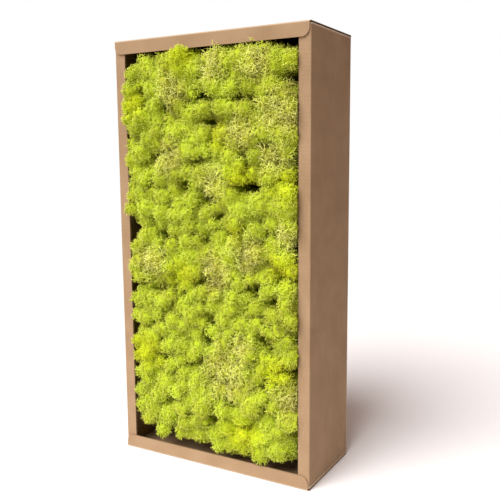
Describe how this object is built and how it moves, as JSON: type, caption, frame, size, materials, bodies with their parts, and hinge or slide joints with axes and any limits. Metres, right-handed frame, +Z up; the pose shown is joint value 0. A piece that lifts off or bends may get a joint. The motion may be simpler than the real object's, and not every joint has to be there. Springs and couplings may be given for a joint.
{
  "type": "reindeer moss clump in a cardboard tray",
  "caption": "Open-fronted corrugated tray standing on its short end, packed with tufts of preserved lime green reindeer moss.",
  "frame": {"origin": "middle of the underside that the tray stands on, on the tray's own depth and width", "axes": "+Z up along the tray's length, the window with the moss faces -Y, X across the window"},
  "size_m": [0.204, 0.1054, 0.4],
  "materials": {
    "kraft_board": "brown kraft liner, matt, with darker flutes at the cut edges",
    "moss": "preserved lichen dyed lime green, matt, finely branched"
  },
  "bodies": {
    "root": {"tray": "kraft_board", "moss_tuft_01": "moss", "moss_tuft_02": "moss", "moss_tuft_03": "moss", "moss_tuft_04": "moss", "moss_tuft_05": "moss", "moss_tuft_06": "moss", "moss_tuft_07": "moss", "moss_tuft_08": "moss", "moss_tuft_09": "moss", "moss_tuft_10": "moss", "moss_tuft_11": "moss", "moss_tuft_12": "moss", "moss_tuft_13": "moss", "moss_tuft_14": "moss", "moss_tuft_15": "moss", "moss_tuft_16": "moss", "moss_tuft_17": "moss", "moss_tuft_18": "moss", "moss_tuft_19": "moss", "moss_tuft_20": "moss", "moss_tuft_21": "moss", "moss_tuft_22": "moss", "moss_tuft_23": "moss", "moss_tuft_24": "moss", "moss_tuft_25": "moss", "moss_tuft_26": "moss", "moss_tuft_27": "moss", "moss_tuft_28": "moss", "moss_tuft_29": "moss", "moss_tuft_30": "moss", "moss_tuft_31": "moss", "moss_tuft_32": "moss", "moss_tuft_33": "moss", "moss_tuft_34": "moss", "moss_tuft_35": "moss", "moss_tuft_36": "moss"}
  },
  "joints": []
}
